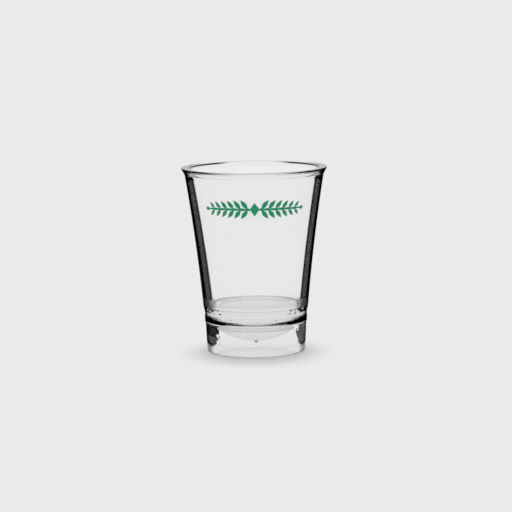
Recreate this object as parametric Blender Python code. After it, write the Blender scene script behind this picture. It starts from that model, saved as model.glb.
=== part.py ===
"""A clear plastic shot glass: a thick-based cup, the foot ring it stands on, and a green printed sprig.

The glass stands on z = 0 with its axis on Z. The print faces -Y. Lengths are in metres.
"""

import math

import bmesh
import bpy
from mathutils import Vector

# Overall sizes and the lip, which turns outward at the top of the wall and opens the bore a little.
CUP_HEIGHT = 0.0612
RIM_RADIUS = 0.0240
LIP_RISE = 0.0038
LIP_OVERHANG = 0.00125
LIP_TOP_WIDTH = 0.0026
LIP_EDGE_ROUND = 0.0003
LIP_INNER_ROUND = 0.0009
LIP_LAND = 0.0005
LIP_NECK_OUT = 0.00022
LIP_NECK_DROP = 0.00236
LIP_NECK_ROUND = 0.0019
LIP_BORE_ROUND = 0.0025

# The drinking wall: its outside and its bore both bow gently inward.
WALL_FOOT_RADIUS = 0.01744
WALL_BOW = 0.00038
WALL_TOP_THICKNESS = 0.00247
WALL_FOOT_THICKNESS = 0.00284
BORE_BOW = 0.00035

# The thick base: a shoulder into a shallow waist, a soft band under it, and the cup's floor inside.
BAND_RADIUS = 0.01702
BAND_HEIGHT = 0.0014
BAND_UNDERCUT = 0.00007
BAND_EDGE_ROUND = 0.00025
WAIST_DEPTH = 0.00009
WAIST_RISE = 0.0017
SHOULDER_HEIGHT = 0.0022
SHOULDER_ROUND = 0.0010
WAIST_ROUND = 0.0030
BAND_ROUND = 0.0020
FLOOR_OVER_SEAT = 0.0061
FLOOR_DISH = 0.0003
FLOOR_FILLET = 0.00015

# The underside: a flat seat, a relief groove, a short spigot and a dome with the stub of the moulding gate.
SEAT_WIDTH = 0.00277
GROOVE_WIDTH = 0.00155
GROOVE_DEPTH = 0.00125
GROOVE_TOP_WIDTH = 0.0006
GROOVE_TOP_ROUND = 0.00028
GROOVE_TURN_OUT = 0.0009
GROOVE_TURN_RISE = 0.00045
GROOVE_TURN_ROUND = 0.0005
DOME_RADIUS = 0.0220
DOME_CLEARANCE = 0.0038
GATE_RADIUS = 0.0007
GATE_HEIGHT = 0.0007
GATE_TAPER = 0.00014

# The foot ring: a drafted skirt with a straight bore, flat on top and on the rest.
FOOT_HEIGHT = 0.0095
FOOT_STEP = 0.00028
FOOT_DRAFT = 0.0004
FOOT_EDGE_ROUND = 0.00025

# What seats keeps this gap: the ring's top under the seat, and its bore round the spigot.
SEAT_GAP = 0.0003
FIT_CLEARANCE = 0.0004

# The print: a lozenge between two sprays of leaves, laid round the front of the wall.
PRINT_SPAN = 0.0350
PRINT_HEIGHT = 0.0062
PRINT_DROP = 0.0119
LEAF_PAIRS = 6
LEAF_LEAN = math.radians(52)
STEM_WIDTH = 0.00055
LOZENGE_LENGTH = 0.0030
INK_THICKNESS = 0.00015
INK_STANDOFF = 0.0001

# Fineness of the turned surfaces and of the bent print.
SEGMENTS = 64
FLOOR_STEPS = 4
BORE_STEPS = 7
WALL_STEPS = 9
DOME_STEPS = 9
CORNER_STEPS = 3
PRINT_STRIP = 0.0014

SEAT_Z = FOOT_HEIGHT + SEAT_GAP
BAND_Z = SEAT_Z + BAND_HEIGHT
WAIST_Z = BAND_Z + WAIST_RISE
WALL_FOOT_Z = WAIST_Z + SHOULDER_HEIGHT
WALL_TOP_Z = CUP_HEIGHT - LIP_RISE
WALL_TOP_RADIUS = RIM_RADIUS - LIP_OVERHANG
FLOOR_Z = SEAT_Z + FLOOR_OVER_SEAT
SEAT_INNER_RADIUS = BAND_RADIUS - SEAT_WIDTH
SPIGOT_RADIUS = SEAT_INNER_RADIUS - GROOVE_WIDTH


def bowed(foot, top, bow, along):
    """A radius part of the way from foot to top, drawn in at mid-height by the bow."""
    return foot + (top - foot) * along - bow * 4 * along * (1 - along)


def wall_radius(z):
    """Outside radius of the drinking wall."""
    along = (z - WALL_FOOT_Z) / (WALL_TOP_Z - WALL_FOOT_Z)
    return bowed(WALL_FOOT_RADIUS, WALL_TOP_RADIUS, WALL_BOW, along)


def dome_z(radius):
    """Height of the dome at a radius."""
    return DOME_CLEARANCE + DOME_RADIUS - math.sqrt(DOME_RADIUS**2 - radius**2)


def steps(start, end, count):
    """Evenly spaced values from start to end, both included."""
    return [start + (end - start) * i / count for i in range(count + 1)]


def rounded(path):
    """Points of an open path of (radius, z, corner radius), its corners turned into arcs."""
    points = [path[0][:2]]
    for before, corner, after in zip(path, path[1:], path[2:]):
        here = Vector(corner[:2])
        back = Vector(before[:2]) - here
        ahead = Vector(after[:2]) - here
        half = back.angle(ahead) / 2
        reach = min(corner[2] / math.tan(half), back.length / 2.2, ahead.length / 2.2)
        if corner[2] == 0 or half > math.radians(89):
            points.append(tuple(here))
            continue
        radius = reach * math.tan(half)
        first = here + back.normalized() * reach
        centre = here + (back.normalized() + ahead.normalized()).normalized() * radius / math.sin(half)
        sweep = (first - centre).angle_signed(here + ahead.normalized() * reach - centre)
        for turn in steps(0, -sweep, CORNER_STEPS):
            arm = first - centre
            points.append(
                (
                    centre.x + arm.x * math.cos(turn) - arm.y * math.sin(turn),
                    centre.y + arm.x * math.sin(turn) + arm.y * math.cos(turn),
                )
            )
    points.append(path[-1][:2])
    return points


def plastic(name, colour, roughness, clear):
    """A smooth plastic or ink."""
    material = bpy.data.materials.new(name)
    material.use_nodes = True
    shader = material.node_tree.nodes["Principled BSDF"]
    shader.inputs["Base Color"].default_value = (*colour, 1)
    shader.inputs["Metallic"].default_value = 0
    shader.inputs["Roughness"].default_value = roughness
    shader.inputs["IOR"].default_value = 1.58
    shader.inputs["Transmission Weight"].default_value = clear
    material.diffuse_color = (*colour, 1 if clear == 0 else 0.25)
    return material


def turned(name, profile, material, closed):
    """A solid turned about Z from a profile of (radius, z) that runs down its outer side."""
    mesh = bpy.data.meshes.new(name)
    last = len(profile) if closed else len(profile) - 1
    edges = [(i, (i + 1) % len(profile)) for i in range(last)]
    mesh.from_pydata([(radius, 0, z) for radius, z in profile], edges, [])
    mesh.materials.append(material)
    body = bpy.data.objects.new(name, mesh)
    bpy.context.scene.collection.objects.link(body)
    screw = body.modifiers.new("Turn", "SCREW")
    screw.axis = "Z"
    screw.angle = 2 * math.pi
    screw.steps = SEGMENTS
    screw.render_steps = SEGMENTS
    screw.use_merge_vertices = True
    screw.merge_threshold = 0.00001
    screw.use_smooth_shade = True
    return body


def cup_profile():
    """The cup from the middle of its floor, up the bore, over the lip and down the outside to the gate."""
    bore_foot = WALL_FOOT_RADIUS - WALL_FOOT_THICKNESS
    bore_top = WALL_TOP_RADIUS - WALL_TOP_THICKNESS
    bore = [
        (bowed(bore_foot, bore_top, BORE_BOW, along), FLOOR_Z + (WALL_TOP_Z - FLOOR_Z) * along)
        for along in steps(0, 1, BORE_STEPS)
    ]
    floor_edge = bore_foot - 2 * FLOOR_FILLET
    floor = [
        (r, FLOOR_Z - FLOOR_DISH * (1 - (r / floor_edge) ** 2))
        for r in steps(0, floor_edge, FLOOR_STEPS)
    ]
    corner = rounded([floor[-1], (*bore[0], FLOOR_FILLET), bore[1]])
    lip = rounded(
        [
            bore[-2],
            (*bore[-1], LIP_BORE_ROUND),
            (RIM_RADIUS - LIP_TOP_WIDTH, CUP_HEIGHT, LIP_INNER_ROUND),
            (RIM_RADIUS, CUP_HEIGHT, LIP_EDGE_ROUND),
            (RIM_RADIUS, CUP_HEIGHT - LIP_LAND, LIP_LAND),
            (WALL_TOP_RADIUS + LIP_NECK_OUT, CUP_HEIGHT - LIP_NECK_DROP, LIP_NECK_ROUND),
            (WALL_TOP_RADIUS, WALL_TOP_Z),
        ]
    )
    wall = [(wall_radius(z), z) for z in steps(WALL_TOP_Z, WALL_FOOT_Z, WALL_STEPS)]
    groove_top = SEAT_Z + GROOVE_DEPTH
    base = rounded(
        [
            wall[-2],
            (*wall[-1], SHOULDER_ROUND),
            (BAND_RADIUS - WAIST_DEPTH, WAIST_Z, WAIST_ROUND),
            (BAND_RADIUS, BAND_Z, BAND_ROUND),
            (BAND_RADIUS - BAND_UNDERCUT, SEAT_Z, BAND_EDGE_ROUND),
            (SEAT_INNER_RADIUS, SEAT_Z, 0),
            (SPIGOT_RADIUS + GROOVE_TURN_OUT, SEAT_Z + GROOVE_TURN_RISE, GROOVE_TURN_ROUND),
            (SPIGOT_RADIUS + GROOVE_TOP_WIDTH, groove_top, GROOVE_TOP_ROUND),
            (SPIGOT_RADIUS, groove_top, GROOVE_TOP_ROUND),
            (SPIGOT_RADIUS, dome_z(SPIGOT_RADIUS)),
        ]
    )
    dome = [(r, dome_z(r)) for r in steps(SPIGOT_RADIUS, GATE_RADIUS, DOME_STEPS)]
    gate_z = dome_z(GATE_RADIUS) - GATE_HEIGHT
    gate = [(GATE_RADIUS - GATE_TAPER, gate_z), (0, gate_z)]
    return floor[:-1] + corner[1:-1] + bore[1:-2] + lip[:-1] + wall[:-2] + base[:-1] + dome + gate


def foot_profile():
    """The foot ring's section, starting in the middle of its top and running down the skirt."""
    top_radius = BAND_RADIUS - FOOT_STEP
    bore = SPIGOT_RADIUS + FIT_CLEARANCE
    middle = (bore + top_radius) / 2
    return rounded(
        [
            (middle, FOOT_HEIGHT),
            (top_radius, FOOT_HEIGHT, FOOT_EDGE_ROUND),
            (top_radius - FOOT_DRAFT, 0, FOOT_EDGE_ROUND),
            (bore, 0, FOOT_EDGE_ROUND),
            (bore, FOOT_HEIGHT, FOOT_EDGE_ROUND),
            (middle, FOOT_HEIGHT),
        ]
    )[:-1]


def leaf(base, lean, length, width):
    """Outline of a pointed leaf on the stem's upper edge, from one side of its stalk to the other."""
    outline = []
    for side in (1, -1):
        for along in (0.04, 0.2, 0.4, 0.62, 0.82)[::side]:
            swell = side * width / 2 * math.sin(math.pi * along**0.8)
            outline.append((along * length, swell))
        if side == 1:
            outline.append((length, 0))
    return [
        (
            base + x * math.cos(lean) - y * math.sin(lean),
            STEM_WIDTH / 2 + x * math.sin(lean) + y * math.cos(lean),
        )
        for x, y in outline
    ]


def sprig_outline():
    """The print laid flat: one closed outline, the same on both sides of its middle and of its stem."""
    start = LOZENGE_LENGTH / 2
    pitch = (PRINT_SPAN / 2 - start) / (LEAF_PAIRS + 0.9)
    quarter = [(0, PRINT_HEIGHT * 0.36), (start * 0.92, STEM_WIDTH / 2)]
    for pair in range(LEAF_PAIRS):
        size = 1 - 0.42 * (pair / LEAF_PAIRS) ** 1.5
        length = size * (PRINT_HEIGHT - STEM_WIDTH) / 2 / math.sin(LEAF_LEAN)
        width = size * 0.62 * pitch
        quarter += leaf(start + pitch * (pair + 0.35), LEAF_LEAN, length, width)
    tip = start + pitch * (LEAF_PAIRS + 0.25)
    swell = 0.3 * pitch
    quarter += [(tip, STEM_WIDTH / 2), ((tip + PRINT_SPAN / 2) / 2, swell), (PRINT_SPAN / 2, 0)]
    upper = [(-u, v) for u, v in quarter[:0:-1]] + quarter
    return upper + [(u, -v) for u, v in upper[-2:0:-1]]


def printed(name, outline, material):
    """A thin film of ink with this outline, bent round the front of the wall."""
    middle_z = CUP_HEIGHT - PRINT_DROP
    turn_radius = wall_radius(middle_z)
    film = bmesh.new()
    film.faces.new([film.verts.new((u, 0, v)) for u, v in outline])
    film.normal_update()
    bmesh.ops.triangulate(film, faces=film.faces)
    strips = int(PRINT_SPAN / 2 / PRINT_STRIP)
    for cut in range(-strips, strips + 1):
        bmesh.ops.bisect_plane(
            film,
            geom=[*film.verts, *film.edges, *film.faces],
            dist=1e-7,
            plane_co=(cut * PRINT_STRIP, 0, 0),
            plane_no=(1, 0, 0),
        )
    bmesh.ops.triangulate(film, faces=film.faces)
    grown = bmesh.ops.extrude_face_region(film, geom=list(film.faces), use_keep_orig=True)
    for vert in grown["geom"]:
        if isinstance(vert, bmesh.types.BMVert):
            vert.co.y -= INK_THICKNESS
    for vert in film.verts:
        u, out, v = vert.co
        radius = wall_radius(middle_z + v) + INK_STANDOFF - out
        vert.co = (
            radius * math.sin(u / turn_radius),
            -radius * math.cos(u / turn_radius),
            middle_z + v,
        )
    bmesh.ops.recalc_face_normals(film, faces=film.faces)
    mesh = bpy.data.meshes.new(name)
    film.to_mesh(mesh)
    film.free()
    mesh.materials.append(material)
    body = bpy.data.objects.new(name, mesh)
    bpy.context.scene.collection.objects.link(body)
    return body


for old in list(bpy.data.objects):
    bpy.data.objects.remove(old)

clear = plastic("clear_plastic", (0.93, 0.94, 0.94), 0.03, 1)
clear_foot = plastic("clear_plastic_foot", (0.93, 0.94, 0.94), 0.05, 1)
ink = plastic("green_ink", (0.023, 0.254, 0.133), 0.45, 0)

glass = bpy.data.objects.new("shot_glass", None)
bpy.context.scene.collection.objects.link(glass)
for piece in (
    turned("cup", cup_profile(), clear, closed=False),
    turned("foot_ring", foot_profile(), clear_foot, closed=True),
    printed("sprig_print", sprig_outline(), ink),
):
    piece.parent = glass
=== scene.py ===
import math

import bmesh
import bpy
from mathutils import Matrix, Vector


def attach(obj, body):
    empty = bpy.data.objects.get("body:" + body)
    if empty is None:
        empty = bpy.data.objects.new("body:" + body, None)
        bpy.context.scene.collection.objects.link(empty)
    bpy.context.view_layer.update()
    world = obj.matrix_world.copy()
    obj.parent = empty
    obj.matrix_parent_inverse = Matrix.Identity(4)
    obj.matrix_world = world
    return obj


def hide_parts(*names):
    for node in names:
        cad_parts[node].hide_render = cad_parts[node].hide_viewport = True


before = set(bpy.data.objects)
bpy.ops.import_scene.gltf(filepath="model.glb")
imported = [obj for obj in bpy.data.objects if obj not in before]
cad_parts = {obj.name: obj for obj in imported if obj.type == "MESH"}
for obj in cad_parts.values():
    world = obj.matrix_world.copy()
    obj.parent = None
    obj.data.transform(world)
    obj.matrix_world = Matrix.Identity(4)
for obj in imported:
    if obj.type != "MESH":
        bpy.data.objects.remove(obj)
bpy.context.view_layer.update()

# The cup
# One injection moulding in clear polycarbonate: an out-turned lip, a thick tapered wall and a solid base,
# nearly flat inside and domed underneath. The stub in the middle of the dome is where the plastic went in.
MM = 0.001
CUP_HEIGHT = 61.2 * MM
RIM_RADIUS = 24.0 * MM
LIP_RISE = 3.8 * MM
LIP_LAND = 0.5 * MM
LIP_ROUND = 0.08 * MM
LIP_NECK_OUT = 0.22 * MM
LIP_NECK_DROP = 2.356 * MM
LIP_NECK_ROUND = 1.9 * MM
LIP_BORE_RADIUS = 21.4 * MM
LIP_INNER_ROUND = 0.9 * MM
LIP_BORE_ROUND = 20.0 * MM
WALL_TOP_RADIUS = 22.75 * MM
WALL_TOP_Z = CUP_HEIGHT - LIP_RISE
WALL_FOOT_RADIUS = 17.44 * MM
WALL_FOOT_Z = 15.1 * MM
WALL_BOW = 0.38 * MM
BORE_TOP_RADIUS = 20.28 * MM
BORE_TOP_Z = 57.3 * MM
BORE_FOOT_RADIUS = 14.6 * MM
BORE_BOW = 0.35 * MM
FLOOR_Z = 15.9 * MM
FLOOR_DISH = 0.3 * MM
FLOOR_FILLET = 0.15 * MM
SHOULDER_ROUND = 1.0 * MM
WAIST_RADIUS = 16.93 * MM
WAIST_Z = 12.9 * MM
WAIST_ROUND = 3.0 * MM
BAND_RADIUS = 17.02 * MM
BAND_Z = 11.2 * MM
BAND_ROUND = 2.0 * MM
BAND_LOW_RADIUS = 16.95 * MM
BAND_LOW_ROUND = 0.25 * MM
SEAT_Z = 9.8 * MM
BOND_EDGE_RADIUS = 16.5 * MM
SEAT_INNER_RADIUS = 14.25 * MM
GROOVE_SIDE_RADIUS = 13.6 * MM
GROOVE_SIDE_RISE = 0.45 * MM
GROOVE_SIDE_ROUND = 0.5 * MM
GROOVE_TOP_RADIUS = 13.3 * MM
GROOVE_TOP_Z = 11.05 * MM
GROOVE_TOP_ROUND = 0.28 * MM
SPIGOT_RADIUS = 12.7 * MM
SPIGOT_ROUND = 0.3 * MM
DOME_EDGE_RADIUS = 12.065 * MM
DOME_RADIUS = 22.0 * MM
DOME_LOW_Z = 3.8 * MM
GATE_RADIUS = 0.7 * MM
GATE_HEIGHT = 0.7 * MM
GATE_NECK_RADIUS = 0.63 * MM
GATE_TIP_RADIUS = 0.49 * MM
GATE_TIP_RISE = 0.2 * MM
TURN_STEPS = 256
WALL_STEPS = 32
LIP_OVERLAP = 4
FLOOR_STEPS = 24
DOME_STEPS = 48
ROUND_STEPS = 10
ROUND_ROOM = 2.05
NEARLY_STRAIGHT = math.radians(89.5)
SHARP_ANGLE = math.radians(32)
ON_AXIS = 0.0001 * MM
SAME_LEVEL = 0.001 * MM


def bowed(z, foot, top, bow):
    """Radius of a tapered wall at a height, drawn in at mid-height, between two (radius, z) ends."""
    along = (z - foot[1]) / (top[1] - foot[1])
    return foot[0] + (top[0] - foot[0]) * along - bow * 4 * along * (1 - along)


def wall_radius(z):
    """Outside radius of the drinking wall at a height."""
    return bowed(z, (WALL_FOOT_RADIUS, WALL_FOOT_Z), (WALL_TOP_RADIUS, WALL_TOP_Z), WALL_BOW)


def bore_radius(z):
    """Inside radius of the drinking wall at a height."""
    return bowed(z, (BORE_FOOT_RADIUS, FLOOR_Z), (BORE_TOP_RADIUS, BORE_TOP_Z), BORE_BOW)


def dome_z(radius):
    """Height of the dome at a radius."""
    return DOME_LOW_Z + DOME_RADIUS - math.sqrt(DOME_RADIUS**2 - radius**2)


def spread(first, last, count):
    """Evenly spaced values from first to last."""
    return [first + (last - first) * i / count for i in range(count + 1)]


def rounded(path):
    """Points of a path of (radius, z, corner round), with an arc for each corner that has a round."""
    points = [path[0][:2]]
    for before, corner, after in zip(path, path[1:], path[2:]):
        here = Vector(corner[:2])
        back = Vector(before[:2]) - here
        ahead = Vector(after[:2]) - here
        half = back.angle(ahead) / 2
        if corner[2] == 0 or half > NEARLY_STRAIGHT:
            points.append(tuple(here))
            continue
        reach = min(corner[2] / math.tan(half), back.length / ROUND_ROOM, ahead.length / ROUND_ROOM)
        radius = reach * math.tan(half)
        centre = here + (back.normalized() + ahead.normalized()).normalized() * radius / math.sin(half)
        arm = here + back.normalized() * reach - centre
        sweep = -arm.angle_signed(here + ahead.normalized() * reach - centre)
        for turn in spread(0, sweep, ROUND_STEPS):
            out = centre.x + arm.x * math.cos(turn) - arm.y * math.sin(turn)
            up = centre.y + arm.x * math.sin(turn) + arm.y * math.cos(turn)
            points.append((out, up))
    points.append(path[-1][:2])
    return points


def turned(name, section, finishes, bonded):
    """A piece turned about Z from its section, a closed loop or a line that starts and ends on the axis."""
    shape = bmesh.new()
    angles = [2 * math.pi * i / TURN_STEPS for i in range(TURN_STEPS)]
    rings = []
    for radius, z in section:
        if radius < ON_AXIS:
            rings.append([shape.verts.new((0, 0, z))])
        else:
            rings.append([shape.verts.new((radius * math.cos(a), radius * math.sin(a), z)) for a in angles])
    pairs = list(zip(rings, rings[1:]))
    if len(rings[0]) > 1:
        pairs.append((rings[-1], rings[0]))
    for upper, lower in pairs:
        for i in range(TURN_STEPS):
            j = (i + 1) % TURN_STEPS
            corners = [upper[i % len(upper)], lower[i % len(lower)]]
            corners += [lower[j % len(lower)], upper[j % len(upper)]]
            shape.faces.new(list(dict.fromkeys(corners)))
    bmesh.ops.recalc_face_normals(shape, faces=shape.faces)
    for face in shape.faces:
        middle = face.calc_center_median()
        face.material_index = int(bonded(middle.xy.length, middle.z))
    mesh = bpy.data.meshes.new(name)
    shape.to_mesh(mesh)
    shape.free()
    mesh.shade_smooth()
    mesh.set_sharp_from_angle(angle=SHARP_ANGLE)
    for finish in finishes:
        mesh.materials.append(finish)
    piece = bpy.data.objects.new(name, mesh)
    bpy.context.scene.collection.objects.link(piece)
    return piece


bore = [(bore_radius(z), z) for z in spread(FLOOR_Z + 2 * FLOOR_FILLET, BORE_TOP_Z, WALL_STEPS)]
floor_corner = rounded(
    [
        (BORE_FOOT_RADIUS - 2 * FLOOR_FILLET, FLOOR_Z, 0),
        (BORE_FOOT_RADIUS, FLOOR_Z, FLOOR_FILLET),
        (*bore[0], 0),
    ]
)
floor_edge = floor_corner[1][0]
cup_floor = [
    (radius, FLOOR_Z - FLOOR_DISH * (1 - (radius / floor_edge) ** 2))
    for radius in spread(0, floor_edge, FLOOR_STEPS)
]
lip = rounded(
    [
        (*bore[-LIP_OVERLAP], 0),
        (*bore[-1], LIP_BORE_ROUND),
        (LIP_BORE_RADIUS, CUP_HEIGHT, LIP_INNER_ROUND),
        (RIM_RADIUS, CUP_HEIGHT, LIP_ROUND),
        (RIM_RADIUS, CUP_HEIGHT - LIP_LAND, LIP_LAND),
        (WALL_TOP_RADIUS + LIP_NECK_OUT, CUP_HEIGHT - LIP_NECK_DROP, LIP_NECK_ROUND),
        (WALL_TOP_RADIUS, WALL_TOP_Z, 0),
    ]
)
wall = [(wall_radius(z), z) for z in spread(WALL_TOP_Z, WALL_FOOT_Z, WALL_STEPS)]
base = rounded(
    [
        (*wall[-2], 0),
        (*wall[-1], SHOULDER_ROUND),
        (WAIST_RADIUS, WAIST_Z, WAIST_ROUND),
        (BAND_RADIUS, BAND_Z, BAND_ROUND),
        (BAND_LOW_RADIUS, SEAT_Z, BAND_LOW_ROUND),
        (BOND_EDGE_RADIUS, SEAT_Z, 0),
        (SEAT_INNER_RADIUS, SEAT_Z, 0),
        (GROOVE_SIDE_RADIUS, SEAT_Z + GROOVE_SIDE_RISE, GROOVE_SIDE_ROUND),
        (GROOVE_TOP_RADIUS, GROOVE_TOP_Z, GROOVE_TOP_ROUND),
        (SPIGOT_RADIUS, GROOVE_TOP_Z, GROOVE_TOP_ROUND),
        (SPIGOT_RADIUS, dome_z(SPIGOT_RADIUS), SPIGOT_ROUND),
        (DOME_EDGE_RADIUS, dome_z(DOME_EDGE_RADIUS), 0),
    ]
)
dome = [(radius, dome_z(radius)) for radius in spread(DOME_EDGE_RADIUS, GATE_RADIUS, DOME_STEPS)]
gate_z = dome_z(GATE_RADIUS) - GATE_HEIGHT
gate_stub = [(GATE_NECK_RADIUS, gate_z + GATE_TIP_RISE), (GATE_TIP_RADIUS, gate_z), (0, gate_z)]
cup_inside = cup_floor[:-1] + floor_corner[1:-1] + bore[:-LIP_OVERLAP]
cup_outside = lip[:-1] + wall[:-2] + base[:-1] + dome + gate_stub


def cup_bonded(radius, z):
    """Whether a place on the cup's underside meets the foot ring."""
    return abs(z - SEAT_Z) < SAME_LEVEL and SEAT_INNER_RADIUS < radius < BOND_EDGE_RADIUS


def linear(code):
    """Linear colour of an sRGB hex value."""
    parts = [int(code[i : i + 2], 16) / 255 for i in (1, 3, 5)]
    return [p / 12.92 if p <= 0.04045 else ((p + 0.055) / 1.055) ** 2.4 for p in parts] + [1]


def add(tree, kind, settings=None, **inputs):
    """One node with its settings (a ramp's are its stops), its input values and the links into it."""
    new = tree.nodes.new("ShaderNode" + kind)
    for key, value in (settings or {}).items():
        if key == "stops":
            points = new.color_ramp.elements
            while len(points) < len(value):
                points.new(0.5)
            for point, (place, shade) in zip(points, value):
                point.position = place
                point.color = (shade, shade, shade, 1)
        else:
            setattr(new, key, value)
    for key, value in inputs.items():
        socket = new.inputs[int(key[1:])] if key[1:].isdigit() else new.inputs[key.replace("_", " ")]
        if isinstance(value, bpy.types.NodeSocket):
            tree.links.new(value, socket)
        else:
            socket.default_value = value
    return new


def surface(name):
    """A new material, its tree and the Principled shader on its output."""
    material = bpy.data.materials.new(name)
    material.use_nodes = True
    tree = material.node_tree
    return material, tree, tree.nodes["Principled BSDF"]


POLYCARBONATE_IOR = 1.585
DEPTH_GREY = "#000000"
GREY_PER_METRE = 1.0


def clear_moulding(name):
    """A clear plastic that light goes through, with a very faint grey in its depth."""
    material, tree, shader = surface(name)
    shader.inputs["Transmission Weight"].default_value = 1
    shader.inputs["IOR"].default_value = POLYCARBONATE_IOR
    shader.inputs["Roughness"].default_value = 0
    depth = add(tree, "VolumeAbsorption", Color=linear(DEPTH_GREY), Density=GREY_PER_METRE)
    tree.links.new(depth.outputs[0], tree.nodes["Material Output"].inputs["Volume"])
    return material, tree, shader


def entering(tree, spot, side):
    """1 where a ray enters the plastic by a face turned from the axis (side 1) or towards it (side -1)."""
    outward = add(
        tree, "VectorMath", {"operation": "MULTIPLY"}, _0=spot["Object"], _1=(side, side, 0)
    ).outputs[0]
    lean = add(
        tree, "VectorMath", {"operation": "DOT_PRODUCT"}, _0=outward, _1=spot["Normal"]
    ).outputs["Value"]
    on_side = add(tree, "Math", {"operation": "GREATER_THAN"}, _0=lean, _1=0.0).outputs[0]
    leaving = add(tree, "NewGeometry").outputs["Backfacing"]
    return add(tree, "Math", {"operation": "GREATER_THAN"}, _0=on_side, _1=leaving).outputs[0]


NORMAL_LEAN = 0.52
AT_OUTLINE = 1.1


def edge_measure(tree, spot):
    """How edge-on the wall is seen, with its normal leaned up so that no wall is edge-on from above."""
    leaning = add(
        tree, "VectorMath", {"operation": "ADD"}, _0=spot["Normal"], _1=(0, 0, NORMAL_LEAN)
    ).outputs[0]
    leaning = add(tree, "VectorMath", {"operation": "NORMALIZE"}, _0=leaning).outputs[0]
    facing = add(tree, "LayerWeight", Normal=leaning).outputs["Facing"]
    stretch = math.hypot(1, NORMAL_LEAN)
    return add(
        tree, "Math", {"operation": "MULTIPLY_ADD"}, _0=facing, _1=stretch, _2=AT_OUTLINE - stretch
    ).outputs[0]


def shifted(tree, measure, by, reach, shifts, ease="LINEAR"):
    """The measure plus a shift, which goes from first to last as another value crosses its reach."""
    shift = add(
        tree, "MapRange", {"interpolation_type": ease}, Value=by,
        From_Min=reach[0], From_Max=reach[1], To_Min=shifts[0], To_Max=shifts[1],
    ).outputs[0]
    return add(tree, "Math", {"operation": "ADD"}, _0=measure, _1=shift).outputs[0]


def shaded(tree, tone, where, height, zone, measure):
    """The tone times a zone's ramp over a measure: painted shade. A zone is (low, high, softness of its
    ends, stops).
    """
    low, high, soft, stops = zone
    from_middle = add(tree, "Math", {"operation": "SUBTRACT"}, _0=height, _1=(low + high) / 2).outputs[0]
    from_middle = add(tree, "Math", {"operation": "ABSOLUTE"}, _0=from_middle).outputs[0]
    half = (high - low) / 2
    within = add(
        tree, "MapRange", {"interpolation_type": "SMOOTHSTEP"}, Value=from_middle,
        From_Min=half + soft / 2, From_Max=half - soft / 2,
    ).outputs[0]
    within = add(tree, "Math", {"operation": "MULTIPLY"}, _0=within, _1=where).outputs[0]
    ramp = add(tree, "ValToRGB", {"stops": stops}, Fac=measure).outputs["Color"]
    factor = add(tree, "Mix", _0=within, _2=1.0, _3=ramp).outputs[0]
    return add(tree, "Math", {"operation": "MULTIPLY"}, _0=tone, _1=factor).outputs[0]


def tint(tree, shader, tone):
    """Gives the shader a tone, squared because light through a surface keeps the root of its colour."""
    squared = add(tree, "Math", {"operation": "POWER"}, _0=tone, _1=2.0).outputs[0]
    tree.links.new(squared, shader.inputs["Base Color"])


# Polycarbonate from a polished mould: water clear, so only its edges draw it. Seen edge-on the thick wall
# turns the light away, and this is painted into its colour as shade, by how edge-on each zone is seen: black
# at the outline and dark grey behind it. The depth has a very faint grey.
polished_mould_polycarbonate, tree, shader = clear_moulding("polished_mould_polycarbonate")
spot = add(tree, "TexCoord").outputs
place = add(tree, "SeparateXYZ", Vector=spot["Object"]).outputs
height = place["Z"]
outside = entering(tree, spot, 1)
inside = entering(tree, spot, -1)
edge_on = edge_measure(tree, spot)
glancing = add(tree, "LayerWeight").outputs["Facing"]

# Painted shade: the dark bands of the wall widen towards the floor, a little more on the left.
WALL_STOPS = [(0.54, 1), (0.565, 0.02), (0.595, 0.02), (0.63, 0.085), (0.73, 0.085), (0.79, 0.0)]
WALL_ZONE = (FLOOR_Z + 2.5 * MM, CUP_HEIGHT - 2.0 * MM, 0.3 * MM, WALL_STOPS)
WIDENING_SIDE = 18.0 * MM
WIDENING_LEFT = 0.135
WIDENING_RIGHT = 0.09
widening = add(
    tree, "MapRange", Value=place["X"],
    From_Min=-WIDENING_SIDE, From_Max=WIDENING_SIDE, To_Min=WIDENING_LEFT, To_Max=WIDENING_RIGHT,
).outputs[0]
wall_edge = shifted(tree, edge_on, height, (FLOOR_Z, BORE_TOP_Z), (widening, 0.0))
tone = shaded(tree, 1.0, outside, height, WALL_ZONE, wall_edge)

# Painted shade: level with the floor the dark band thins out inwards.
FLOOR_LEVEL_STOPS = [
    (0.33, 1), (0.4, 0.55), (0.47, 0.3), (0.535, 0.13), (0.616, 0.08), (0.727, 0.03), (0.85, 0.01),
]
FLOOR_LEVEL_ZONE = (FLOOR_Z - 0.5 * MM, FLOOR_Z + 2.8 * MM, 0.3 * MM, FLOOR_LEVEL_STOPS)
tone = shaded(tree, tone, outside, height, FLOOR_LEVEL_ZONE, edge_on)

# Painted shade: under the lip only the outline is black. The lip's outer edge is painted dark at the sides
# and clear in front. It is measured by the direction away from the axis, because its small round faces every
# way.
UNDER_LIP_ZONE = (CUP_HEIGHT - 2.0 * MM, CUP_HEIGHT - 0.55 * MM, 0.3 * MM, [(0.62, 1), (0.74, 0.01)])
LIP_OUTER_STOPS = [(0.0, 0.92), (0.1, 0.66), (0.2, 0.03), (0.28, 0.0)]
LIP_OUTER_ZONE = (CUP_HEIGHT - 0.55 * MM, CUP_HEIGHT + 0.4 * MM, 0.1 * MM, LIP_OUTER_STOPS)
LIP_OUTER_RADIUS = RIM_RADIUS - 0.25 * MM
LIP_OUTER_FADE = (CUP_HEIGHT - 0.3 * MM, CUP_HEIGHT - 0.05 * MM)
LIP_OUTER_SHIFTS = (0.0, -0.22)
tone = shaded(tree, tone, outside, height, UNDER_LIP_ZONE, glancing)
outward = add(tree, "VectorMath", {"operation": "MULTIPLY"}, _0=spot["Object"], _1=(1, 1, 0)).outputs[0]
radius = add(tree, "VectorMath", {"operation": "LENGTH"}, _0=outward).outputs["Value"]
outward = add(tree, "VectorMath", {"operation": "NORMALIZE"}, _0=outward).outputs[0]
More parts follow.
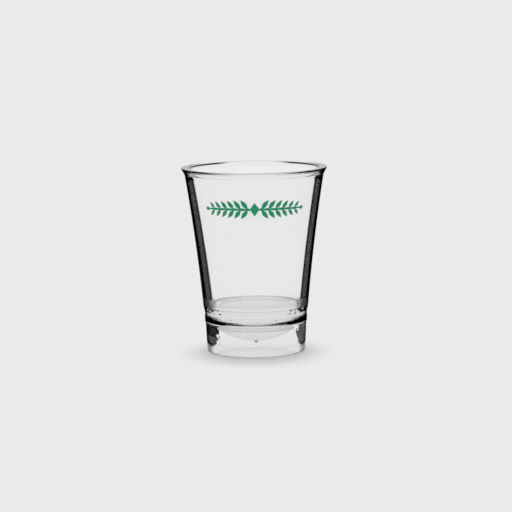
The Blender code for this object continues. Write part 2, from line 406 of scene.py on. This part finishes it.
on_rim = add(tree, "Math", {"operation": "GREATER_THAN"}, _0=radius, _1=LIP_OUTER_RADIUS).outputs[0]
round_about = add(tree, "LayerWeight", Normal=outward).outputs["Facing"]
lip_edge = shifted(tree, round_about, height, LIP_OUTER_FADE, LIP_OUTER_SHIFTS)
tone = shaded(tree, tone, on_rim, height, LIP_OUTER_ZONE, lip_edge)

# Painted shade: the rounded inner edge of the lip is dark at the far sides and clear at the back.
LIP_INNER_STOPS = [(0.25, 1), (0.29, 0.2), (0.33, 0.003)]
LIP_INNER_ZONE = (CUP_HEIGHT - 0.65 * MM, CUP_HEIGHT - 0.1 * MM, 0.05 * MM, LIP_INNER_STOPS)
LIP_INNER_FADE = (CUP_HEIGHT - 0.45 * MM, CUP_HEIGHT - 0.08 * MM)
LIP_INNER_SHIFTS = (0.1, -0.16)
lip_edge = shifted(tree, glancing, height, LIP_INNER_FADE, LIP_INNER_SHIFTS)
tone = shaded(tree, tone, inside, height, LIP_INNER_ZONE, lip_edge)

# Painted shade: the corner of the floor draws a dark ellipse, the shoulder a fine dark line in front.
FLOOR_CORNER_STOPS = [(0.1, 1), (0.43, 0.45), (0.6, 0.2)]
FLOOR_CORNER_ZONE = (FLOOR_Z + 0.01 * MM, FLOOR_Z + 0.3 * MM, 0.04 * MM, FLOOR_CORNER_STOPS)
SHOULDER_STOPS = [(0.0, 0.88), (0.2, 0.75), (0.4, 0.4)]
SHOULDER_ZONE = (WALL_FOOT_Z - 0.1 * MM, WALL_FOOT_Z + 0.2 * MM, 0.1 * MM, SHOULDER_STOPS)
tone = shaded(tree, tone, inside, height, FLOOR_CORNER_ZONE, glancing)
tone = shaded(tree, tone, outside, height, SHOULDER_ZONE, edge_on)

# Below the shoulder a noise breaks the painted dark into blots, and the surface itself stays smooth. The
# fine dark line at the waist is painted shade too.
BLOT_NOISE_WIDTH = 0.91 * MM
BLOT_NOISE_REACH = (0.35, 0.65)
BLOT_NOISE_SHIFTS = (-0.4, 0.14)
BLOT_STOPS = [(0.3, 1), (0.36, 0.05), (0.6, 0.0)]
BLOT_ZONE = (WALL_FOOT_Z - 1.5 * MM, WALL_FOOT_Z + 0.4 * MM, 0.4 * MM, BLOT_STOPS)
WAIST_LINE_STOPS = [(0.0, 0.97), (0.15, 0.8), (0.3, 0.5), (0.45, 1)]
WAIST_LINE_ZONE = (WAIST_Z - 0.9 * MM, WAIST_Z - 0.65 * MM, 0.15 * MM, WAIST_LINE_STOPS)
blot_noise = add(tree, "TexNoise", Vector=spot["Object"], Scale=1 / BLOT_NOISE_WIDTH, Detail=2.0).outputs["Fac"]
ragged = shifted(tree, edge_on, blot_noise, BLOT_NOISE_REACH, BLOT_NOISE_SHIFTS)
tone = shaded(tree, tone, outside, height, BLOT_ZONE, ragged)
tone = shaded(tree, tone, outside, height, WAIST_LINE_ZONE, ragged)

# Painted shade: the corner under the band, over the joint, is a dark crescent that thins out towards the
# front, and the outline of the base is dark.
CRESCENT_FOOT_Z = SEAT_Z + 0.3 * MM
CRESCENT_FRONT = 0.85 * MM
CRESCENT_SIDE = 3.2 * MM
CRESCENT_SIDE_EDGE = 0.6
CRESCENT_RISE = [(0.0, 0), (0.1, 1), (0.58, 1), (0.75, 0.4), (1.0, 0)]
CRESCENT_STOPS = [(0.0, 0.92), (0.1, 0.8), (0.2, 0.36), (0.25, 0.03), (0.28, 0.0)]
CRESCENT_ZONE = (SEAT_Z - 0.8 * MM, SEAT_Z + 3.2 * MM, 0.1 * MM, CRESCENT_STOPS)
BASE_OUTLINE_STOPS = [(0.0, 0.94), (0.6, 0.94), (0.8, 0.05)]
BASE_OUTLINE_ZONE = (SEAT_Z - 0.8 * MM, WALL_FOOT_Z + 0.4 * MM, 0.1 * MM, BASE_OUTLINE_STOPS)
tall = add(
    tree, "MapRange", Value=edge_on, From_Max=CRESCENT_SIDE_EDGE, To_Min=CRESCENT_FRONT, To_Max=CRESCENT_SIDE
).outputs[0]
over_joint = add(tree, "Math", {"operation": "SUBTRACT"}, _0=height, _1=CRESCENT_FOOT_Z).outputs[0]
over_joint = add(tree, "Math", {"operation": "DIVIDE"}, _0=over_joint, _1=tall).outputs[0]
crescent = add(tree, "ValToRGB", {"stops": CRESCENT_RISE}, Fac=over_joint).outputs["Color"]
crescent = add(tree, "Math", {"operation": "MULTIPLY"}, _0=crescent, _1=outside).outputs[0]
tone = shaded(tree, tone, crescent, height, CRESCENT_ZONE, edge_on)
tone = shaded(tree, tone, outside, height, BASE_OUTLINE_ZONE, edge_on)

# Painted shade: the dome is a little greyer where it is seen edge-on. The stub of the gate is torn and dark,
# and darker still where it is seen edge-on, which is painted shade.
DOME_ZONE = (DOME_LOW_Z, DOME_LOW_Z + 4.2 * MM, 0.1 * MM, [(0.3, 1), (0.9, 0.97)])
GATE_ZONE = (DOME_LOW_Z - 1.8 * MM, DOME_LOW_Z - 0.05 * MM, 0.1 * MM, [(0.0, 0.5), (1.0, 0.3)])
tone = shaded(tree, tone, outside, height, DOME_ZONE, edge_on)
tone = shaded(tree, tone, 1.0, height, GATE_ZONE, edge_on)

# The dome and the floor are duller than the sides, so that what shows through them is soft.
DULL_DOME = (DOME_LOW_Z - 0.1 * MM, DOME_LOW_Z + 4.1 * MM, 0.32)
DULL_FLOOR = (FLOOR_Z - 0.5 * MM, FLOOR_Z + 0.05 * MM, 0.15)
dull = 0.0
for low, high, roughness in (DULL_DOME, DULL_FLOOR):
    within = add(
        tree, "Math", {"operation": "COMPARE"}, _0=height, _1=(low + high) / 2, _2=(high - low) / 2
    ).outputs[0]
    dull = add(tree, "Math", {"operation": "MULTIPLY_ADD"}, _0=within, _1=roughness, _2=dull).outputs[0]
tree.links.new(dull, shader.inputs["Roughness"])

# A few flecks of dust went into the mould with the plastic.
FLECK_SPACING = 6.67 * MM
FLECK_CORE = 0.02
FLECK_EDGE = 0.05
FLECK_TONE = 0.6
flecks = add(tree, "TexVoronoi", Vector=spot["Object"], Scale=1 / FLECK_SPACING).outputs["Distance"]
flecks = add(
    tree, "MapRange", Value=flecks, From_Min=FLECK_CORE, From_Max=FLECK_EDGE, To_Min=FLECK_TONE
).outputs[0]
tone = add(tree, "Math", {"operation": "MULTIPLY"}, _0=tone, _1=flecks).outputs[0]
# The base colour takes the painted shade above and the dust flecks.
tint(tree, shader, tone)

# Solvent cement, brushed on and pressed out: no air is left, so light goes straight through the joint, but
# for a few small bubbles that show as pale specks.
BUBBLE_WHITE = "#F2F4F3"
BUBBLE_SPACING = 2.0 * MM
BUBBLE_CORE = 0.08
BUBBLE_EDGE = 0.12
BUBBLE_COVER = 0.35
solvent_cement, tree, shader = surface("solvent_cement")
shader.inputs["Base Color"].default_value = linear(BUBBLE_WHITE)
shader.inputs["Roughness"].default_value = 0.2
spot = add(tree, "TexCoord").outputs["Object"]
bubbles = add(tree, "TexVoronoi", Vector=spot, Scale=1 / BUBBLE_SPACING).outputs["Distance"]
bubbles = add(
    tree, "MapRange", Value=bubbles,
    From_Min=BUBBLE_CORE, From_Max=BUBBLE_EDGE, To_Min=BUBBLE_COVER, To_Max=0.0,
).outputs[0]
tree.links.new(bubbles, shader.inputs["Alpha"])

cup_finishes = [polished_mould_polycarbonate, solvent_cement]
cup = turned("cup_moulding", cup_inside + cup_outside, cup_finishes, cup_bonded)
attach(cup, "root")
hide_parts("cup")

# The foot ring
# A second clear moulding, the drafted skirt that the glass stands on. Its flat top is cemented under the
# cup's seat, and the cup's short spigot keeps it in the middle.
BOND_GAP = 0.02 * MM
FOOT_TOP_Z = SEAT_Z - BOND_GAP
FOOT_TOP_RADIUS = 16.74 * MM
FOOT_TOP_ROUND = 0.12 * MM
FOOT_LOW_RADIUS = 16.34 * MM
FOOT_LOW_ROUND = 0.25 * MM
FOOT_BORE_RADIUS = 13.1 * MM

foot_section = rounded(
    [
        (SEAT_INNER_RADIUS, FOOT_TOP_Z, 0),
        (BOND_EDGE_RADIUS, FOOT_TOP_Z, 0),
        (FOOT_TOP_RADIUS, FOOT_TOP_Z, FOOT_TOP_ROUND),
        (FOOT_LOW_RADIUS, 0, FOOT_LOW_ROUND),
        (FOOT_BORE_RADIUS, 0, FOOT_LOW_ROUND),
        (FOOT_BORE_RADIUS, FOOT_TOP_Z, 0),
        (SEAT_INNER_RADIUS, FOOT_TOP_Z, 0),
    ]
)[:-1]


def foot_bonded(radius, z):
    """Whether a place on the foot ring's top meets the cup."""
    return z > FOOT_TOP_Z - SAME_LEVEL and SEAT_INNER_RADIUS < radius < BOND_EDGE_RADIUS


# The same polycarbonate. Painted shade darkens the sides of the ring by how edge-on they are seen, with a
# ragged edge that draws back towards the rest. The painted shade is deeper and wider on the left than on the
# right, and low down and along the edge it rests on, the outline is painted darker too.
TATTER_WIDTH = 2.0 * MM
TATTER_REACH = (0.35, 0.65)
TATTER_SHIFTS = (-0.06, 0.05)
TAPER_REACH = (1.2 * MM, 3.8 * MM)
TAPER_SHIFTS = (-0.4, 0.0)
RIGHT_REACH = (0.0, 14.0 * MM)
RIGHT_SHIFTS = (0.0, -0.05)
LEFT_BLEND = 4.0 * MM
LEFT_REST = 0.1
UNDER_REST = -1.0 * MM
SIDE_TOP = FOOT_TOP_Z - 0.06 * MM
SIDE_ZONE = (UNDER_REST, SIDE_TOP, 0.1 * MM, [(0.37, 1), (0.40, 0.13), (0.55, 0.16), (0.8, 0.05)])
LEFT_ZONE = (UNDER_REST, SIDE_TOP, 0.1 * MM, [(0.37, 1), (0.40, 0.65), (0.9, 0.65)])
LEFT_TOP_ZONE = (5.8 * MM, SIDE_TOP, 0.3 * MM, [(0.37, 1), (0.40, 0.25), (0.9, 0.25)])
LOW_STOPS = [(0.05, 1), (0.2, 0.95), (0.5, 0.88), (0.62, 0.3), (0.75, 0.1)]
LOW_ZONE = (FOOT_LOW_ROUND, 3.6 * MM, 0.4 * MM, LOW_STOPS)
REST_ZONE = (UNDER_REST, FOOT_LOW_ROUND, 0.1 * MM, [(0.0, 0.75), (0.4, 0.45), (0.7, 0.2)])
foot_ring_polycarbonate, tree, shader = clear_moulding("foot_ring_polycarbonate")
spot = add(tree, "TexCoord").outputs
place = add(tree, "SeparateXYZ", Vector=spot["Object"]).outputs
height = place["Z"]
outside = entering(tree, spot, 1)
edge_on = edge_measure(tree, spot)
tatters = add(tree, "TexNoise", Vector=spot["Object"], Scale=1 / TATTER_WIDTH, Detail=3.0).outputs["Fac"]
side_edge = shifted(tree, edge_on, tatters, TATTER_REACH, TATTER_SHIFTS)
side_edge = shifted(tree, side_edge, height, TAPER_REACH, TAPER_SHIFTS, ease="SMOOTHSTEP")
side_edge = shifted(tree, side_edge, place["X"], RIGHT_REACH, RIGHT_SHIFTS)
on_left = add(
    tree, "MapRange", Value=place["X"],
    From_Min=-LEFT_BLEND, From_Max=LEFT_BLEND, To_Min=1.0, To_Max=LEFT_REST,
).outputs[0]
on_left = add(tree, "Math", {"operation": "MULTIPLY"}, _0=on_left, _1=outside).outputs[0]
tone = shaded(tree, 1.0, outside, height, SIDE_ZONE, side_edge)
tone = shaded(tree, tone, on_left, height, LEFT_ZONE, side_edge)
tone = shaded(tree, tone, on_left, height, LEFT_TOP_ZONE, side_edge)
tone = shaded(tree, tone, outside, height, LOW_ZONE, edge_on)
tone = shaded(tree, tone, outside, height, REST_ZONE, edge_on)
# The base colour takes the painted shade above.
tint(tree, shader, tone)

foot_finishes = [foot_ring_polycarbonate, solvent_cement]
foot = turned("foot_ring_moulding", foot_section, foot_finishes, foot_bonded)
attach(foot, "root")
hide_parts("foot_ring")

# The printed sprig
# A single colour screen-printed round the front of the finished cup: a lozenge between two sprays of leaves,
# in a film of ink a few hundredths of a millimetre thick.
PRINT_SPAN = 35.0 * MM
PRINT_HEIGHT = 6.2 * MM
PRINT_Z = CUP_HEIGHT - 11.9 * MM
STEM_WIDTH = 0.55 * MM
LOZENGE_LENGTH = 3.0 * MM
LOZENGE_SHARE = 0.36
LOZENGE_TIP = 0.92
LEAF_PAIRS = 6
LEAF_LEAN = math.radians(52)
LEAF_STEPS = 14
LEAF_STALK = 0.04
LEAF_FULLNESS = 0.8
LEAF_WIDTH_SHARE = 0.62
LEAF_LOSS = 0.42
LEAF_LOSS_CURVE = 1.5
FIRST_LEAF = 0.35
BUD_START = 0.25
BUD_LENGTH = 0.65
BUD_SWELL = 0.3
INK_THICKNESS = 0.06 * MM
INK_STANDOFF = 0.03 * MM
PRINT_STRIP = 0.5 * MM
CUT_TOLERANCE = 1e-8


def leaf(base, length, width):
    """Outline of a pointed leaf on the stem's upper edge, from the near to the far side of its stalk."""
    upper = []
    for along in spread(LEAF_STALK, 1 - LEAF_STALK, LEAF_STEPS):
        upper.append((along, math.sin(math.pi * along**LEAF_FULLNESS) * width / 2))
    outline = upper + [(1, 0)] + [(along, -swell) for along, swell in upper[::-1]]
    sin = math.sin(LEAF_LEAN)
    cos = math.cos(LEAF_LEAN)
    return [
        (base + along * length * cos - swell * sin, STEM_WIDTH / 2 + along * length * sin + swell * cos)
        for along, swell in outline
    ]


lozenge_end = LOZENGE_LENGTH / 2
pitch = (PRINT_SPAN / 2 - lozenge_end) / (LEAF_PAIRS + BUD_START + BUD_LENGTH)
quarter = [(0, PRINT_HEIGHT * LOZENGE_SHARE), (lozenge_end * LOZENGE_TIP, STEM_WIDTH / 2)]
for pair in range(LEAF_PAIRS):
    share = 1 - LEAF_LOSS * (pair / LEAF_PAIRS) ** LEAF_LOSS_CURVE
    leaf_length = share * (PRINT_HEIGHT - STEM_WIDTH) / 2 / math.sin(LEAF_LEAN)
    quarter += leaf(lozenge_end + pitch * (pair + FIRST_LEAF), leaf_length, share * LEAF_WIDTH_SHARE * pitch)
bud = lozenge_end + pitch * (LEAF_PAIRS + BUD_START)
quarter += [(bud, STEM_WIDTH / 2), ((bud + PRINT_SPAN / 2) / 2, BUD_SWELL * pitch), (PRINT_SPAN / 2, 0)]
half = [(-u, v) for u, v in quarter[:0:-1]] + quarter
sprig = half + [(u, -v) for u, v in half[-2:0:-1]]

film = bmesh.new()
film.faces.new([film.verts.new((u, 0, v)) for u, v in sprig])
film.normal_update()
bmesh.ops.triangulate(film, faces=film.faces)
strips = int(PRINT_SPAN / 2 / PRINT_STRIP)
for cut in range(-strips, strips + 1):
    every = [*film.verts, *film.edges, *film.faces]
    bmesh.ops.bisect_plane(
        film, geom=every, dist=CUT_TOLERANCE, plane_co=(cut * PRINT_STRIP, 0, 0), plane_no=(1, 0, 0)
    )
bmesh.ops.triangulate(film, faces=film.faces)
grown = bmesh.ops.extrude_face_region(film, geom=list(film.faces), use_keep_orig=True)
for vert in grown["geom"]:
    if isinstance(vert, bmesh.types.BMVert):
        vert.co.y -= INK_THICKNESS
for vert in film.verts:
    u, out, v = vert.co
    radius = wall_radius(PRINT_Z + v) + INK_STANDOFF - out
    turn = u / wall_radius(PRINT_Z)
    vert.co = (radius * math.sin(turn), -radius * math.cos(turn), PRINT_Z + v)
bmesh.ops.recalc_face_normals(film, faces=film.faces)
print_mesh = bpy.data.meshes.new("sprig_ink")
film.to_mesh(print_mesh)
film.free()

# Screen ink: opaque and satin, a little uneven where the mesh left it thinner.
INK_THICK = "#1E8E66"
INK_THIN = "#24986F"
INK_LAY_WIDTH = 1.11 * MM
SCREEN_THREAD = 0.25 * MM
SCREEN_MARK_DEPTH = 0.02 * MM
screen_ink, tree, shader = surface("screen_ink")
shader.inputs["Specular IOR Level"].default_value = 0.25
spot = add(tree, "TexCoord").outputs["Object"]
lay = add(tree, "TexNoise", Vector=spot, Scale=1 / INK_LAY_WIDTH, Detail=3.0).outputs["Fac"]
lay = add(tree, "MapRange", Value=lay, From_Min=0.35, From_Max=0.65).outputs[0]
green = add(tree, "Mix", {"data_type": "RGBA"}, _0=lay, _6=linear(INK_THICK), _7=linear(INK_THIN)).outputs[2]
tree.links.new(green, shader.inputs["Base Color"])
satin = add(tree, "MapRange", Value=lay, To_Min=0.4, To_Max=0.55).outputs[0]
tree.links.new(satin, shader.inputs["Roughness"])
screen_marks = add(tree, "TexNoise", Vector=spot, Scale=1 / SCREEN_THREAD, Detail=1.0).outputs["Fac"]
dimples = add(tree, "Bump", Strength=0.25, Distance=SCREEN_MARK_DEPTH, Height=screen_marks).outputs[0]
tree.links.new(dimples, shader.inputs["Normal"])
print_mesh.materials.append(screen_ink)
ink = bpy.data.objects.new("sprig_ink", print_mesh)
bpy.context.scene.collection.objects.link(ink)
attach(ink, "root")
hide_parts("sprig_print")

# The studio: floor, light and camera
# A pale seamless sheet of paper lit evenly from all round, and a little more from above and behind.
# The camera stands where the photograph was taken from.
PALE = "#EAEAEA"
SHEET_REACH = 12.0
floor_mesh = bpy.data.meshes.new("floor")
sheet_corners = [(x * SHEET_REACH, y * SHEET_REACH, 0) for x, y in ((-1, -1), (1, -1), (1, 1), (-1, 1))]
floor_mesh.from_pydata(sheet_corners, [], [(0, 1, 2, 3)])
floor = bpy.data.objects.new("floor", floor_mesh)
bpy.context.scene.collection.objects.link(floor)

AT_LEAST_ONE = 0.5


def glanced(tree, path):
    """1 for a ray that glanced off the outside of the glass and touched nothing else before it came here."""
    turned_back = add(
        tree, "Math", {"operation": "GREATER_THAN"}, _0=path["Glossy Depth"], _1=AT_LEAST_ONE
    ).outputs[0]
    touched = add(
        tree, "Math", {"operation": "ADD"}, _0=path["Transmission Depth"], _1=path["Diffuse Depth"]
    ).outputs[0]
    only = add(tree, "Math", {"operation": "LESS_THAN"}, _0=touched, _1=AT_LEAST_ONE).outputs[0]
    return add(tree, "Math", {"operation": "MULTIPLY"}, _0=turned_back, _1=only).outputs[0]


# Matt paper. Away from the glass it glows its own colour unshaded, as an evenly lit sheet looks. Under and
# round the glass it keeps its traced shadow, but only inside a painted patch, stretched sideways and set
# towards the front, so the shadow's shape is painted. Seen through or mirrored in the glass, the sheet glows
# a little brighter and shows only part of its shadow, which is painted light. What the glass mirrors of it
# stops a little way off.
THROUGH_GLASS_LIGHT = 1.08
THROUGH_GLASS_UNSHADED = 0.65
SHADOW_STRETCH = (1.2, 1, 1)
SHADOW_FORWARD = (0, 6.0 * MM, 0)
SHADOW_CORE = 14.0 * MM
SHADOW_EDGE = 34.0 * MM
SHADOW_UNSHADED = 0.1
MIRRORED_CORE = 22.0 * MM
MIRRORED_EDGE = 25.3 * MM
paper, tree, shader = surface("pale_paper")
shader.inputs["Base Color"].default_value = linear(PALE)
shader.inputs["Roughness"].default_value = 1.0
shader.inputs["Specular IOR Level"].default_value = 0.0
path = add(tree, "LightPath").outputs
spot = add(tree, "TexCoord").outputs["Object"]
by_glass = add(
    tree, "Math", {"operation": "MAXIMUM"}, _0=path["Is Transmission Ray"], _1=path["Is Glossy Ray"]
).outputs[0]
brighter = add(tree, "MapRange", Value=by_glass, To_Min=1.0, To_Max=THROUGH_GLASS_LIGHT).outputs[0]
paper_glow = add(tree, "Emission", Color=linear(PALE), Strength=brighter).outputs[0]
off_shadow = add(
    tree, "VectorMath", {"operation": "MULTIPLY_ADD"}, _0=spot, _1=SHADOW_STRETCH, _2=SHADOW_FORWARD
).outputs[0]
off_shadow = add(tree, "VectorMath", {"operation": "LENGTH"}, _0=off_shadow).outputs["Value"]
unshaded = add(
    tree, "MapRange", {"interpolation_type": "SMOOTHSTEP"}, Value=off_shadow,
    From_Min=SHADOW_CORE, From_Max=SHADOW_EDGE, To_Min=SHADOW_UNSHADED,
).outputs[0]
unshaded = add(tree, "Mix", _0=by_glass, _2=unshaded, _3=THROUGH_GLASS_UNSHADED).outputs[0]
sheet = add(tree, "MixShader", _0=unshaded, _1=shader.outputs[0], _2=paper_glow).outputs[0]
off_middle = add(tree, "VectorMath", {"operation": "LENGTH"}, _0=spot).outputs["Value"]
away = add(tree, "MapRange", Value=off_middle, From_Min=MIRRORED_CORE, From_Max=MIRRORED_EDGE).outputs[0]
hidden = add(tree, "Math", {"operation": "MULTIPLY"}, _0=glanced(tree, path), _1=away).outputs[0]
nothing = add(tree, "BsdfTransparent").outputs[0]
sheet = add(tree, "MixShader", _0=hidden, _1=sheet, _2=nothing).outputs[0]
tree.links.new(sheet, tree.nodes["Material Output"].inputs["Surface"])
floor_mesh.materials.append(paper)

# The light is even all round, with a soft box over the glass that lights only what is matt. What the outside
# of the glass mirrors from below the horizon is dark.
DEEP = "#0D0D0D"
WHITE = "#FFFFFF"
HORIZON_BLEND = 0.03
SOFT_BOX_WAY = (0, 0.3, 0.954)
SOFT_BOX_FOCUS = 14.0
SOFT_BOX_LIGHT = 0.8
ALL_ROUND_LIGHT = 0.9
world = bpy.data.worlds.new("studio")
bpy.context.scene.world = world
world.use_nodes = True
tree = world.node_tree
tree.nodes.clear()
path = add(tree, "LightPath").outputs
way = add(tree, "TexCoord").outputs["Generated"]
up = add(tree, "SeparateXYZ", Vector=way).outputs["Z"]
low = add(tree, "MapRange", Value=up, From_Min=HORIZON_BLEND, From_Max=0.0).outputs[0]
dark = add(tree, "Math", {"operation": "MULTIPLY"}, _0=glanced(tree, path), _1=low).outputs[0]
seen = add(tree, "Mix", {"data_type": "RGBA"}, _0=dark, _6=linear(PALE), _7=linear(DEEP)).outputs[2]
lights = add(
    tree, "Math", {"operation": "GREATER_THAN"}, _0=path["Diffuse Depth"], _1=AT_LEAST_ONE
).outputs[0]
soft_box = add(tree, "VectorMath", {"operation": "DOT_PRODUCT"}, _0=way, _1=SOFT_BOX_WAY).outputs["Value"]
soft_box = add(tree, "Math", {"operation": "MAXIMUM"}, _0=soft_box, _1=0.0).outputs[0]
soft_box = add(tree, "Math", {"operation": "POWER"}, _0=soft_box, _1=SOFT_BOX_FOCUS).outputs[0]
soft_box = add(
    tree, "Math", {"operation": "MULTIPLY_ADD"}, _0=soft_box, _1=SOFT_BOX_LIGHT, _2=ALL_ROUND_LIGHT
).outputs[0]
colour = add(tree, "Mix", {"data_type": "RGBA"}, _0=lights, _6=seen, _7=linear(WHITE)).outputs[2]
strength = add(tree, "Mix", _0=lights, _2=1.0, _3=soft_box).outputs[0]
sky = add(tree, "Background", Color=colour, Strength=strength).outputs[0]
add(tree, "OutputWorld", Surface=sky)

CAMERA_DISTANCE = 743.0 * MM
CAMERA_HEIGHT = 130.6 * MM
CAMERA_AIM = Vector((0.27 * MM, 0, 31.4 * MM))
CAMERA_ROLL = -0.0131
PHOTO_WIDTH_PIXELS = 512
FOCAL_LENGTH_PIXELS = 2256.65
SENSOR_WIDTH = 36
FAR_CLIP = 100
lens = bpy.data.cameras.new("camera")
lens.sensor_width = SENSOR_WIDTH
lens.lens = FOCAL_LENGTH_PIXELS / PHOTO_WIDTH_PIXELS * SENSOR_WIDTH
lens.clip_end = FAR_CLIP
camera = bpy.data.objects.new("camera", lens)
bpy.context.scene.collection.objects.link(camera)
stand = Vector((0, -CAMERA_DISTANCE, CAMERA_HEIGHT))
look = (CAMERA_AIM - stand).to_track_quat("-Z", "Y").to_matrix()
camera.matrix_world = Matrix.Translation(stand) @ (look @ Matrix.Rotation(CAMERA_ROLL, 3, "Z")).to_4x4()
bpy.context.scene.camera = camera
bpy.context.scene.view_settings.view_transform = "Standard"

# Light crosses many faces of the clear plastic before it reaches the eye.
CLEAR_BOUNCES = 32
GLOSS_BOUNCES = 16
bpy.context.scene.cycles.max_bounces = CLEAR_BOUNCES
bpy.context.scene.cycles.transmission_bounces = CLEAR_BOUNCES
bpy.context.scene.cycles.glossy_bounces = GLOSS_BOUNCES
